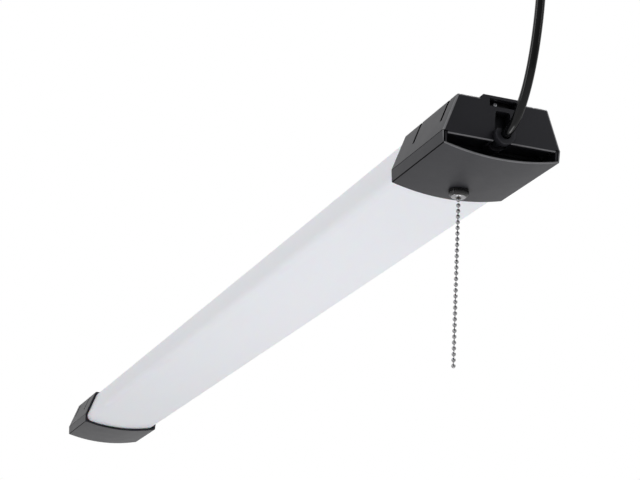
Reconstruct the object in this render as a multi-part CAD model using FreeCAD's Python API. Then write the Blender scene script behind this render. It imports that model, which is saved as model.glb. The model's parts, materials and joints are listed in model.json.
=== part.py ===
"""LED strip batten: a hanging shop light with an opal diffuser, two moulded end caps,
a pull-chain switch and a mains lead. Lengths are in millimetres.

The origin is the middle of the steel tray's back face. X runs along the light, with the
switch and the lead at the +X end, and -Z is the way the light shines.
"""
import FreeCAD
import Part
import math
import os

V = FreeCAD.Vector

# Housing outline
LENGTH = 1184.0          # over both end caps
HALF_BACK = 34.6         # half width of the flat back
HALF_WIDE = 45.0         # half width where the slanted sides end
HALF_LOW = 44.3          # half width at the bottom corners
SIDE_DROP = 29.0         # back to widest point
CORNER_DROP = 38.4       # back to bottom corner
BELLY = 5.7              # rise of the curved bottom
CAP_WALL = 2.2
CAP_RISE = 3.2           # top of the caps above the tray's back
CAP_LENGTH = 93.4
PART_GAP = 0.4           # groove between a cap's two shells

# Light engine
TRAY_HALF = 30.9
TRAY_STEEL = 1.2
TRAY_FLANGE = 12.0
TRAY_OVERLAP = 22.0      # how far the tray reaches into a cap
DIFFUSER_OVERLAP = 5.0   # and the diffuser
DIFFUSER_INSET = 2.9
DIFFUSER_WALL = 1.5
HANG_SPACING = 360.0     # between the two back holes
HANG_HOLE = 2.75
BOARD_LENGTH = 488.0
BOARD_WIDTH = 40.0
BOARD_THICK = 1.2
LED_PER_ROW = 26
LED_ROWS = (-12.0, 12.0)

# Cap details
BACK_ROUND = 2.0         # along the edges of the flat back
END_ROUND = 1.4          # round the outline of the end plate
SLOT_WIDTH = 3.8
SLOT_DEPTH = 17.8        # down the slanted side
SLOT_INSETS = (14.0, 63.2)
BOSS_HALF = 17.5
BOSS_RISE = 2.6
BOSS_LENGTH = 26.0
WINDOW_HALF = 10.3
WINDOW_LOW = -2.0
WINDOW_HIGH = 3.8
POCKET_DEPTH = 24.0
POCKET_WALL = 1.2        # thinner round the open pocket
LIP_HALF = 41.2          # lip of the end plate over the pocket
LIP_DROP = 2.0
POST_INSETS = (30.0, 62.0)
POST_Y = 26.0
POST_R = 3.2
SCREW_R = 1.3

# Lead
CORD_D = 6.6
CORD_Z = -23.4           # height of the lead's hole
CUP_BORE = 3.8
CUP_OUTER = 7.4
CUP_REACH = 6.0
CUP_NECK = 5.3           # where the cup crosses its recess
RECESS_DEPTH = 10.0
RECESS_TOP = -5.0
RECESS_HALF_TOP = 5.6
RECESS_HALF_LOW = 6.7

# Pull switch
SWITCH_INSET = 72.5
PULL = 8.0               # travel of the chain
CRANK = 8.0              # rotor crank radius: 60 degrees for the whole travel
BEAD_D = 3.2
BEAD_PITCH = 4.27
BEADS = 29

BACK_Z = CAP_RISE
BREAK_Z = BACK_Z - SIDE_DROP
CORNER_Z = BACK_Z - CORNER_DROP
BOTTOM_Z = CORNER_Z - BELLY
END_X = LENGTH / 2
RIM_X = END_X - CAP_LENGTH              # inner rim of a cap
TRAY_X = RIM_X + TRAY_OVERLAP
DIFFUSER_X = RIM_X + DIFFUSER_OVERLAP
SLOPE = (HALF_WIDE - HALF_BACK) / SIDE_DROP
SWITCH_X = END_X - SWITCH_INSET
BIG = 400.0

parts = {}


def box(low, high):
    """Box from its lowest corner to its highest corner."""
    size = [high[i] - low[i] for i in range(3)]
    return Part.makeBox(size[0], size[1], size[2], V(*low))


def rod(radius, start, end):
    """Round bar between two points."""
    a, b = V(*start), V(*end)
    return Part.makeCylinder(radius, (b - a).Length, a, b - a)


def pipe(outer, inner, start, end):
    """Round tube between two points."""
    return rod(outer, start, end).cut(rod(inner, start, end))


def fused(shapes):
    """One solid from several overlapping ones."""
    first, rest = shapes[0], shapes[1:]
    return first.fuse(rest).removeSplitter() if rest else first


def turned(outline, x):
    """Solid of revolution about a vertical axis at y = 0, from (radius, z) points."""
    points = [V(x + r, 0, z) for r, z in outline]
    face = Part.Face(Part.makePolygon(points + points[:1]))
    return face.revolve(V(x, 0, 0), V(0, 0, 1), 360)


def mirrored(shape):
    """Copy on the other side of the middle, as the far end repeats the near one."""
    return shape.mirror(V(0, 0, 0), V(1, 0, 0))


def bevelled(shape, radius, wanted):
    """Round the edges for which wanted(edge) is true."""
    edges = [e for e in shape.Edges if wanted(e)]
    return shape.makeFillet(radius, edges) if edges else shape


def runs_along_x(edge):
    """True for a straight edge along the light."""
    if not isinstance(edge.Curve, Part.Line):
        return False
    return abs(edge.tangentAt(edge.FirstParameter).x) > 0.999


def outline_wire(inset, x, lift):
    """Housing outline in a cross plane, moved inwards by inset, its back raised by lift."""
    points = [V(x, HALF_BACK - SLOPE * lift, BACK_Z + lift), V(x, HALF_WIDE, BREAK_Z),
              V(x, HALF_LOW, CORNER_Z)]
    other = [V(x, -p.y, p.z) for p in points]
    lines = [
        Part.makeLine(points[0], points[1]),
        Part.makeLine(points[1], points[2]),
        Part.Arc(points[2], V(x, 0, BOTTOM_Z), other[2]).toShape(),
        Part.makeLine(other[2], other[1]),
        Part.makeLine(other[1], other[0]),
        Part.makeLine(other[0], points[0]),
    ]
    wire = Part.Wire(lines)
    return wire.makeOffset2D(-inset, join=2) if inset else wire


def housing(inset, x0, x1, lift=0):
    """Prism of the housing outline between two stations along X."""
    return Part.Face(outline_wire(inset, x0, lift)).extrude(V(x1 - x0, 0, 0))


def below(z):
    """Everything under a height."""
    return box((-BIG * 2, -BIG, -BIG), (BIG * 2, BIG, z))


def above(z):
    """Everything over a height."""
    return box((-BIG * 2, -BIG, z), (BIG * 2, BIG, BIG))


def side_slot(inset, side):
    """Narrow slot down a slanted side and over the edge onto the back."""
    x = END_X - inset
    low = BACK_Z - SLOT_DEPTH
    inner, outer = side * 29.4, side * BIG / 8
    return box((x - SLOT_WIDTH / 2, min(inner, outer), low),
               (x + SLOT_WIDTH / 2, max(inner, outer), BACK_Z + 1))


def cap_upper(with_lead):
    """Back shell of an end cap, with its end plate, posts, slots and hanger boss."""
    shell = housing(0, RIM_X, END_X)
    shell = bevelled(shell, BACK_ROUND, lambda e: runs_along_x(e) and e.CenterOfMass.z > BREAK_Z + 1)
    shell = bevelled(shell, END_ROUND, lambda e: abs(e.CenterOfMass.x - END_X) < 0.01)
    shell = shell.cut(housing(CAP_WALL, RIM_X - 1, END_X - CAP_WALL - 0.2, CAP_WALL - CAP_RISE))
    shell = shell.cut(below(BREAK_Z))
    boss = box((END_X - BOSS_LENGTH, -BOSS_HALF, 0), (END_X, BOSS_HALF, BACK_Z + BOSS_RISE))
    boss = boss.makeChamfer(BOSS_RISE - 0.4, [e for e in boss.Edges if is_boss_rim(e)])
    roof = box((END_X - POCKET_DEPTH, -HALF_WIDE + 3, BREAK_Z),
               (END_X - 1, HALF_WIDE - 3, BREAK_Z + 1.8))
    lip = box((END_X - 3.0, -LIP_HALF, BREAK_Z - LIP_DROP), (END_X, LIP_HALF, BREAK_Z + 1.8))
    lip = bevelled(lip, 0.9, is_lip_edge)
    baffle = box((END_X - POCKET_DEPTH + 0.3, -39, BREAK_Z - LIP_DROP),
                 (END_X - POCKET_DEPTH + 1.5, 39, BREAK_Z + 1))
    solids = [shell, boss, roof, lip, baffle]
    for inset in POST_INSETS:
        for side in (-1, 1):
            solids.append(rod(POST_R, (END_X - inset, side * POST_Y, 1),
                              (END_X - inset, side * POST_Y, BREAK_Z)))
    if with_lead:
        solids.append(box((END_X - RECESS_DEPTH - 2, -8.6, BREAK_Z - LIP_DROP),
                          (END_X - 1, 8.6, RECESS_TOP + 2)))
        solids.append(rod(CUP_OUTER, (END_X - 19, 0, CORD_Z), (END_X - RECESS_DEPTH, 0, CORD_Z)))
    shell = fused(solids)
    window = box((END_X - BOSS_LENGTH + 2, -WINDOW_HALF, WINDOW_LOW),
                 (END_X + 1, WINDOW_HALF, WINDOW_HIGH))
    shell = shell.cut(window)
    for inset in SLOT_INSETS:
        for side in (-1, 1):
            shell = shell.cut(side_slot(inset, side))
    for inset in POST_INSETS:
        for side in (-1, 1):
            at = (END_X - inset, side * POST_Y)
            shell = shell.cut(rod(SCREW_R + 0.3, (*at, BACK_Z + 1), (*at, BREAK_Z - 1)))
            shell = shell.cut(rod(2.9, (*at, BACK_Z + 1), (*at, BACK_Z - 1.3)))
    for side in (-1, 1):
        at = (RIM_X + 12, side * 18.0)
        shell = shell.cut(rod(1.8, (*at, BACK_Z + 1), (*at, -1)))
    return with_lead_cup(shell) if with_lead else shell


def with_lead_cup(shell):
    """Cut the lead's recess in the end plate and stand the open cup in it."""
    x = END_X - RECESS_DEPTH
    low = BREAK_Z - LIP_DROP - 1
    corners = [(-RECESS_HALF_LOW, low), (-RECESS_HALF_TOP, RECESS_TOP), (RECESS_HALF_TOP, RECESS_TOP),
               (RECESS_HALF_LOW, low)]
    points = [V(x, y, z) for y, z in corners]
    recess = Part.Face(Part.makePolygon(points + points[:1])).extrude(V(RECESS_DEPTH + 1, 0, 0))
    recess = bevelled(recess, 1.6, lambda e: runs_along_x(e) and e.CenterOfMass.z > RECESS_TOP - 1)
    shell = shell.cut(recess)
    cup = rod(CUP_NECK, (x - 1, 0, CORD_Z), (END_X + 0.5, 0, CORD_Z))
    mouth = rod(CUP_OUTER, (END_X, 0, CORD_Z), (END_X + CUP_REACH, 0, CORD_Z))
    mouth = bevelled(mouth, 0.6, lambda e: abs(e.CenterOfMass.x - END_X - CUP_REACH) < 0.01)
    shell = fused([shell, cup, mouth])
    reach = END_X + CUP_REACH + 1
    shell = shell.cut(box((END_X, -CUP_OUTER - 1, CORD_Z + 3.4), (reach, CUP_OUTER + 1, 0)))
    shell = shell.cut(rod(CUP_BORE, (x - 2, 0, CORD_Z), (reach, 0, CORD_Z)))
    shell = shell.cut(box((END_X - 3.2, -CUP_BORE, CORD_Z), (reach, CUP_BORE, CORD_Z + 8)))
    return shell.cut(rod(5.4, (END_X - 20, 0, CORD_Z), (x - 1, 0, CORD_Z)))


def is_lip_edge(edge):
    """Lowest front edge of the end plate's lip."""
    middle = edge.CenterOfMass
    return abs(middle.x - END_X) < 0.01 and abs(middle.z - BREAK_Z + LIP_DROP) < 0.01


def is_boss_rim(edge):
    """Side edges of the hanger boss along its top, and its inner end."""
    middle = edge.valueAt((edge.FirstParameter + edge.LastParameter) / 2)
    top = abs(middle.z - (BACK_Z + BOSS_RISE)) < 0.01
    return top and middle.x < END_X - 0.01


def cap_lower():
    """Front shell of an end cap: a curved floor, low sides and the open end pocket."""
    shell = housing(0, RIM_X, END_X)
    shell = bevelled(shell, 0.9, runs_along_x)
    shell = bevelled(shell, 0.6, lambda e: abs(e.CenterOfMass.x - END_X) < 0.01)
    shell = shell.cut(housing(CAP_WALL, RIM_X - 1, END_X - POCKET_DEPTH))
    shell = shell.cut(housing(POCKET_WALL, END_X - POCKET_DEPTH, END_X + 1))
    shell = shell.cut(above(BREAK_Z - PART_GAP))
    inside = housing(POCKET_WALL - 0.5, RIM_X, END_X)
    wall = box((END_X - POCKET_DEPTH - 2, -BIG, -BIG), (END_X - POCKET_DEPTH, BIG, BREAK_Z - PART_GAP))
    solids = [shell, wall.common(inside)]
    for side in (-1, 1):
        rib = box((END_X - POCKET_DEPTH, min(side * 41.5, side * 44), CORNER_Z - 2),
                  (END_X - 0.8, max(side * 41.5, side * 44), BREAK_Z - PART_GAP))
        solids.append(rib.common(inside))
        for inset in POST_INSETS:
            at = (END_X - inset, side * POST_Y)
            solids.append(rod(POST_R, (*at, BREAK_Z - PART_GAP), (*at, BOTTOM_Z + 2.5)))
    shell = fused(solids)
    shell = shell.cut(box((END_X - 8, -44.2, CORNER_Z + 0.8), (END_X + 1, -42.8, BREAK_Z)))
    for side in (-1, 1):
        for inset in POST_INSETS:
            at = (END_X - inset, side * POST_Y)
            shell = shell.cut(rod(SCREW_R, (*at, BREAK_Z), (*at, BOTTOM_Z + 4.2)))
    return shell


def long_screw(x, y):
    """Self-tapping screw that holds a cap's shells together."""
    head = rod(2.7, (x, y, BACK_Z - 1.3), (x, y, BACK_Z + 0.5))
    head = bevelled(head, 0.8, lambda e: e.CenterOfMass.z > BACK_Z + 0.4)
    cross = fused([box((x - 1.7, y - 0.3, BACK_Z - 0.3), (x + 1.7, y + 0.3, BACK_Z + 1)),
                   box((x - 0.3, y - 1.7, BACK_Z - 0.3), (x + 0.3, y + 1.7, BACK_Z + 1))])
    shank = rod(SCREW_R, (x, y, BACK_Z - 1.3), (x, y, BOTTOM_Z + 4.8))
    return head.cut(cross).fuse(shank)


def tray_screw(x, y):
    """Short screw through a cap's back into the steel tray."""
    head = rod(3.2, (x, y, BACK_Z), (x, y, BACK_Z + 1.6))
    head = bevelled(head, 0.9, lambda e: e.CenterOfMass.z > BACK_Z + 1.5)
    cross = fused([box((x - 2, y - 0.35, BACK_Z + 0.6), (x + 2, y + 0.35, BACK_Z + 2)),
                   box((x - 0.35, y - 2, BACK_Z + 0.6), (x + 0.35, y + 2, BACK_Z + 2))])
    shank = rod(1.5, (x, y, -3.6), (x, y, BACK_Z))
    return head.cut(cross).fuse(shank)


def group(shapes):
    """Several separate solids of one kind as one part."""
    return Part.makeCompound(shapes)


# ---------------------------------------------------------------- housing and caps

def make_caps():
    """Both end caps with their screws and hanger clips; the far end mirrors the near one."""
    near_upper = cap_upper(True)
    far_upper = mirrored(cap_upper(False))
    lower = cap_lower()
    hole = rod(5.15, (SWITCH_X, 0, BOTTOM_Z - 2), (SWITCH_X, 0, BOTTOM_Z + 3))
    posts = [(END_X - inset, side * POST_Y) for inset in POST_INSETS for side in (-1, 1)]
    screws = group([long_screw(*at) for at in posts])
    short = group([tray_screw(RIM_X + 12, side * 18.0) for side in (-1, 1)])
    clip = fused([box((END_X - 22, -8, 0), (END_X - 7, 8, 1.2)),
                  box((END_X - 8.2, -8, 0), (END_X - 7, 8, 3.6))])
    clip = clip.cut(rod(1.0, (END_X - 12, -3.4, 1.9), (END_X - 6, -3.4, 1.9)))
    clip_screw = rod(1.7, (END_X - 7, -3.4, 1.9), (END_X - 5.6, -3.4, 1.9))
    clip_screw = bevelled(clip_screw, 0.6, lambda e: e.CenterOfMass.x > END_X - 5.7)
    clip_screw = clip_screw.fuse(rod(1.0, (END_X - 9.4, -3.4, 1.9), (END_X - 7, -3.4, 1.9)))
    parts["near_cap_upper"] = near_upper
    parts["near_cap_lower"] = lower.cut(hole)
    parts["near_cap_screws"] = screws
    parts["near_tray_screws"] = short
    parts["near_hanger_clip"] = clip
    parts["near_clip_screw"] = clip_screw
    parts["far_cap_upper"] = far_upper
    parts["far_cap_lower"] = mirrored(lower)
    parts["far_cap_screws"] = mirrored(screws)
    parts["far_tray_screws"] = mirrored(short)
    parts["far_hanger_clip"] = mirrored(clip)
    parts["far_clip_screw"] = mirrored(clip_screw)


# ---------------------------------------------------------------- light engine

def make_light_engine():
    """Steel tray, opal diffuser, and two LED boards with their lamps, screws and link."""
    low = -TRAY_FLANGE
    foot = TRAY_HALF + SLOPE * TRAY_FLANGE
    section = [(-TRAY_HALF, 0), (TRAY_HALF, 0), (foot, low), (foot - TRAY_STEEL, low),
               (TRAY_HALF - TRAY_STEEL, -TRAY_STEEL), (TRAY_STEEL - TRAY_HALF, -TRAY_STEEL),
               (TRAY_STEEL - foot, low), (-foot, low)]
    points = [V(-TRAY_X, y, z) for y, z in section]
    tray = Part.Face(Part.makePolygon(points + points[:1])).extrude(V(2 * TRAY_X, 0, 0))
    for x in (-HANG_SPACING / 2, HANG_SPACING / 2):
        tray = tray.cut(rod(HANG_HOLE, (x, 0, 1), (x, 0, -3)))
    for x in (-RIM_X - 12, RIM_X + 12):
        for y in (-18.0, 18.0):
            tray = tray.cut(rod(1.5, (x, y, 1), (x, y, -3)))
    parts["back_tray"] = tray

    outer = housing(DIFFUSER_INSET, -DIFFUSER_X, DIFFUSER_X, 10)
    inner = housing(DIFFUSER_INSET + DIFFUSER_WALL, -DIFFUSER_X - 1, DIFFUSER_X + 1, 10)
    outer = bevelled(outer, 7.0, lambda e: runs_along_x(e) and e.CenterOfMass.z < CORNER_Z + 5)
    inner = bevelled(inner, 5.5, lambda e: runs_along_x(e) and e.CenterOfMass.z < CORNER_Z + 7)
    shell = outer.cut(inner).cut(above(-0.1))
    ribs = []
    for side in (-1, 1):
        a, b = side * (foot - 2.0), side * (foot + 3.0)
        rib = box((-DIFFUSER_X, min(a, b), low - 1.6), (DIFFUSER_X, max(a, b), low - 0.4))
        ribs.append(rib.common(outer))
    parts["diffuser"] = fused([shell] + ribs)

    top = -TRAY_STEEL
    for number, start in ((1, -BOARD_LENGTH - 3), (2, 3)):
        board = box((start, -BOARD_WIDTH / 2, top - BOARD_THICK),
                    (start + BOARD_LENGTH, BOARD_WIDTH / 2, top))
        middle = start + BOARD_LENGTH / 2
        hole_x = math.copysign(HANG_SPACING / 2, middle)
        board = board.cut(rod(5.0, (hole_x, 0, 0), (hole_x, 0, -5)))
        for x in board_screw_places(start):
            board = board.cut(rod(1.6, (x, 0, 0), (x, 0, -5)))
        parts[f"led_board_{number}"] = board
        pitch = BOARD_LENGTH / LED_PER_ROW
        chips = []
        for row in LED_ROWS:
            for k in range(LED_PER_ROW):
                x = start + pitch * (k + 0.5)
                chips.append(box((x - 1.75, row - 1.4, top - BOARD_THICK - 0.7),
                                 (x + 1.75, row + 1.4, top - BOARD_THICK)))
        parts[f"leds_{number}"] = group(chips)
    screws = []
    for start in (-BOARD_LENGTH - 3, 3):
        for x in board_screw_places(start):
            head = rod(2.8, (x, 0, top - BOARD_THICK - 1.5), (x, 0, top - BOARD_THICK))
            screws.append(head.fuse(rod(1.6, (x, 0, top - BOARD_THICK), (x, 0, top))))
    parts["board_screws"] = group(screws)
    parts["board_link"] = box((-7, -4, top - BOARD_THICK - 4.2), (7, 4, top - BOARD_THICK))


def board_screw_places(start):
    """Stations of the screws along one LED board, clear of the hanging hole."""
    return [start + BOARD_LENGTH * share for share in (0.04, 0.35, 0.96)]


# ---------------------------------------------------------------- driver

DRIVER_X0 = END_X - 58.0
DRIVER_X1 = END_X - 15.5
DRIVER_TOP = -3.0
WIRE_X = DRIVER_X0 + 33.5


def make_driver():
    """Mains driver in the near cap: insulating tub, board, its large parts and terminals."""
    x0, x1, top = DRIVER_X0, DRIVER_X1, DRIVER_TOP
    tub = box((x0 - 1, -20.5, top - 2.6), (x1 + 1, 20.5, top))
    tub = tub.cut(box((x0, -19.5, top - 3), (x1, 19.5, top - 1)))
    parts["driver_insulator"] = tub
    face = top - 1.0
    board = box((x0 + 0.2, -19.3, face - 1.6), (x1 - 0.2, 19.3, face))
    places = [(x0 + 3.0, -16.0), (x1 - 3.0, 16.0)]
    for x, y in places:
        board = board.cut(rod(1.3, (x, y, face + 1), (x, y, face - 3)))
    parts["driver_board"] = board
    parts["driver_screws"] = group([
        rod(2.4, (x, y, face - 3.0), (x, y, face - 1.6)).fuse(rod(1.3, (x, y, face - 1.6), (x, y, face)))
        for x, y in places])
    low = face - 1.6
    core = fused([box((x0 + 14, -8, low - 13), (x0 + 28, 8, low - 1)),
                  rod(4.5, (x0 + 21, 0, low - 15), (x0 + 21, 0, low))])
    parts["driver_transformer"] = core
    parts["driver_input_capacitor"] = rod(4.0, (x0 + 7, 8, low), (x0 + 7, 8, low - 14.5))
    parts["driver_output_capacitor"] = rod(4.0, (x0 + 35.5, 9, low), (x0 + 35.5, 9, low - 14.5))
    choke = Part.makeTorus(4.2, 1.9, V(x0 + 36, -11.8, low - 2.0), V(0, 0, 1))
    parts["driver_choke"] = choke
    parts["driver_rectifier"] = box((x0 + 5, -12.5, low - 2.6), (x0 + 11.5, -7.5, low))
    parts["driver_fuse"] = rod(1.6, (x0 + 13, -15, low - 1.7), (x0 + 22, -15, low - 1.7))
    parts["driver_controller"] = box((x0 + 14, 11.5, low - 1.5), (x0 + 19, 15.5, low))
    block = box((x0 + 31.5, -4.5, low - 8), (x0 + 40, 4.5, low))
    for y in (-2.6, 0.0, 2.6):
        block = block.cut(rod(0.9, (WIRE_X, y, low - 3), (WIRE_X, y, low - 9)))
    parts["terminal_block"] = block


# ---------------------------------------------------------------- pull switch

SWITCH_FLOOR = BOTTOM_Z + CAP_WALL + 0.3
ROTOR_X = SWITCH_X - CRANK * (1 + math.cos(math.radians(30))) / 2
ROTOR_Z = -27.0
CRANK_X = ROTOR_X + CRANK * math.cos(math.radians(30))
CRANK_Z = ROTOR_Z + CRANK / 2
RING_LOW = BOTTOM_Z - 4.1
BELL_LOW = RING_LOW - 1.6
FIRST_BEAD = RING_LOW - 7.2


def make_switch():
    """Pull switch: case, crank rotor, spring and pull link inside; nut and bell outside."""
    x, floor, lid = SWITCH_X, SWITCH_FLOOR, -19.5
    case = box((x - 14.5, -7, floor), (x + 7, 9, lid))
    case = case.cut(box((x - 13, -5.5, floor + 1.5), (x + 5.5, 7.5, lid + 1)))
    case = case.cut(rod(2.3, (x, 0, floor - 1), (x, 0, floor + 3)))
    case = case.cut(rod(1.5, (ROTOR_X, 10, ROTOR_Z), (ROTOR_X, 7, ROTOR_Z)))
    parts["switch_case"] = case
    parts["switch_lid"] = box((x - 14.5, -7, lid), (x + 7, 9, lid + 1.5))
    parts["switch_pivot"] = rod(1.5, (ROTOR_X, 9, ROTOR_Z), (ROTOR_X, 0.6, ROTOR_Z))
    hub = rod(3.4, (ROTOR_X, 1.2, ROTOR_Z), (ROTOR_X, 6.2, ROTOR_Z))
    tip = rod(1.9, (CRANK_X, 1.2, CRANK_Z), (CRANK_X, 3.0, CRANK_Z))
    arm = box((0, 1.2, -1.7), (CRANK, 3.0, 1.7))
    arm.rotate(V(0, 0, 0), V(0, 1, 0), -30)
    arm.translate(V(ROTOR_X, 0, ROTOR_Z))
    pin = rod(0.9, (CRANK_X, -1.1, CRANK_Z), (CRANK_X, 1.3, CRANK_Z))
    rotor = fused([hub, tip, arm, pin]).cut(rod(1.55, (ROTOR_X, 0, ROTOR_Z), (ROTOR_X, 9, ROTOR_Z)))
    parts["switch_rotor"] = rotor
    parts["switch_contacts"] = group([
        box((x - 12.6, -4.6, z), (x - 12.1, 4.4, z + 5.0)) for z in (floor + 3.0, floor + 10.5)])

    turns, wire, mean = 5, 0.3, 1.9
    spring_low, spring_high = floor + 1.5, CRANK_Z - 2.5
    rise = spring_high - spring_low - 2 * wire
    helix = Part.makeHelix(rise / turns, rise, mean)
    profile = Part.Wire(Part.makeCircle(wire, V(mean, 0, 0), V(0, 1, 0)))
    coil = Part.Wire(helix).makePipeShell([profile], True, True)
    coil.translate(V(x, 0, spring_low + wire))
    parts["switch_spring"] = coil

    plate = box((x - 2.9, -0.6, CRANK_Z - 2.5), (x + 2.9, 0.6, CRANK_Z + 2.5))
    slot = box((x - 1.8, -1, CRANK_Z - 1.15), (x + 1.8, 1, CRANK_Z + 1.15))
    stem = rod(0.6, (x, 0, CRANK_Z - 1.6), (x, 0, FIRST_BEAD + BEAD_PITCH))
    head = Part.makeSphere(BEAD_D / 2, V(x, 0, FIRST_BEAD + BEAD_PITCH))
    parts["pull_link"] = fused([plate.cut(slot), stem, head])

    bush = pipe(5.0, 2.3, (x, 0, floor), (x, 0, RING_LOW - 0.8))
    parts["switch_bushing"] = bush
    ring = pipe(7.5, 5.05, (x, 0, BOTTOM_Z - 0.05), (x, 0, RING_LOW))
    ring = bevelled(ring, 0.5, lambda e: abs(e.CenterOfMass.z - RING_LOW) < 0.01 and e.Length > 40)
    for k in range(24):
        angle = math.radians(15 * k)
        cx, cy = x + 7.75 * math.cos(angle), 7.75 * math.sin(angle)
        ring = ring.cut(rod(0.45, (cx, cy, BOTTOM_Z + 1), (cx, cy, RING_LOW + 0.6)))
    parts["switch_nut"] = ring
    top = RING_LOW
    bell = turned([(5.05, top), (5.5, top), (5.5, top - 0.4), (5.1, top - 0.9), (4.3, top - 1.3),
                   (3.4, BELL_LOW), (2.1, BELL_LOW), (2.1, BELL_LOW + 0.5), (3.4, BELL_LOW + 0.7),
                   (5.05, top - 0.85)], x)
    parts["switch_bell"] = bell


# ---------------------------------------------------------------- bead chain

def beads(first, last):
    """Stretch of bead chain as one solid: hollow beads on their wire links."""
    z = [FIRST_BEAD - BEAD_PITCH * k for k in range(first, last + 1)]
    gap = BEAD_PITCH / 2 - 0.25
    balls = [Part.makeSphere(BEAD_D / 2, V(SWITCH_X, 0, height)) for height in z]
    bottom = z[-1] - gap if last < BEADS - 1 else z[-1]
    wire = rod(0.42, (SWITCH_X, 0, z[0] + gap), (SWITCH_X, 0, bottom))
    return fused([wire] + balls)


def make_chain():
    """Bead chain in four stretches, with a single bead at each place where it bends."""
    parts["chain_top_link"] = beads(0, 0)
    parts["chain_upper"] = beads(1, 13)
    parts["chain_middle_link"] = beads(14, 14)
    parts["chain_lower"] = beads(15, BEADS - 1)


# ---------------------------------------------------------------- lead

def round_path(points, share=0.45, report=None):
    """Straight runs joined by tangent arcs as large as the shorter run allows."""
    pts = [V(*p) for p in points]
    edges, at = [], pts[0]
    for before, corner, after in zip(pts, pts[1:], pts[2:]):
        a, b = (before - corner), (after - corner)
        reach = share * min(a.Length, b.Length)
        a.normalize()
        b.normalize()
        half_turn = (math.pi - a.getAngle(b)) / 2
        radius = reach / math.tan(half_turn)
        start, end = corner + a * reach, corner + b * reach
        inward = (a + b)
        inward.normalize()
        bulge = radius / math.cos(half_turn) - radius
        edges.append(Part.LineSegment(at, start).toShape())
        edges.append(Part.Arc(start, corner + inward * bulge, end).toShape())
        at = end
        if report is not None:
            report.append(round(radius, 1))
    edges.append(Part.LineSegment(at, pts[-1]).toShape())
    return Part.Wire(edges)


def swept(points, radius, share=0.45, report=None):
    """Round tube along a rounded path."""
    path = round_path(points, share, report)
    start = V(*points[0])
    direction = V(*points[1]) - start
    profile = Part.Wire(Part.makeCircle(radius, start, direction))
    return path.makePipeShell([profile], True, False), path.Length


CORD_ROUTE = [
    (END_X + 1.0, 0, CORD_Z), (END_X + 10, 0, CORD_Z), (END_X + 24, 0, -17), (END_X + 37, 0, -1),
    (END_X + 47, 0, 20), (END_X + 53, 0.5, 46), (END_X + 53.6, 1.8, 71), (END_X + 53.5, 4, 95),
    (END_X + 50, 7.5, 117), (END_X + 38, 13.5, 134), (END_X + 20, 22, 143), (END_X + 0.5, 30.5, 141.5),
    (END_X - 14, 36.5, 129), (END_X - 20.8, 38.6, 107.5), (END_X - 21.0, 37, 84.1),
    (END_X - 22.4, 34, 53.8), (END_X - 26.9, 31, 29.5), (END_X - 38, 29.8, 13.0),
    (END_X - 60, 29.6, 8.7), (END_X - 84, 29.4, 8.8), (END_X - 108, 29.3, 4.4), (END_X - 130, 29.3, 4.4),
]
HANK_X1 = END_X - 130.0
HANK_LENGTH = 146.0
HANK_X0 = HANK_X1 - HANK_LENGTH
HANK_Y = 9.5
HANK_HALF = 24.5
HANK_LOW = 0.4
HANK_HIGH = 28.2
TIE_WIDTH = 14.0
TIE_HALF = 8.6
TIE_THICK = 0.8
PLUG_X = HANK_X0 - 54.0
PLUG_Y = 21.0
PLUG_Z = 12.5
TAIL_ROUTE = [
    (HANK_X0, 29.3, 24.2), (HANK_X0 - 10, 29.3, 24.2), (HANK_X0 - 21, 27, 20.5), (HANK_X0 - 32, 23.5, 15.5),
    (HANK_X0 - 43, PLUG_Y, PLUG_Z), (PLUG_X, PLUG_Y, PLUG_Z),
]


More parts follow.
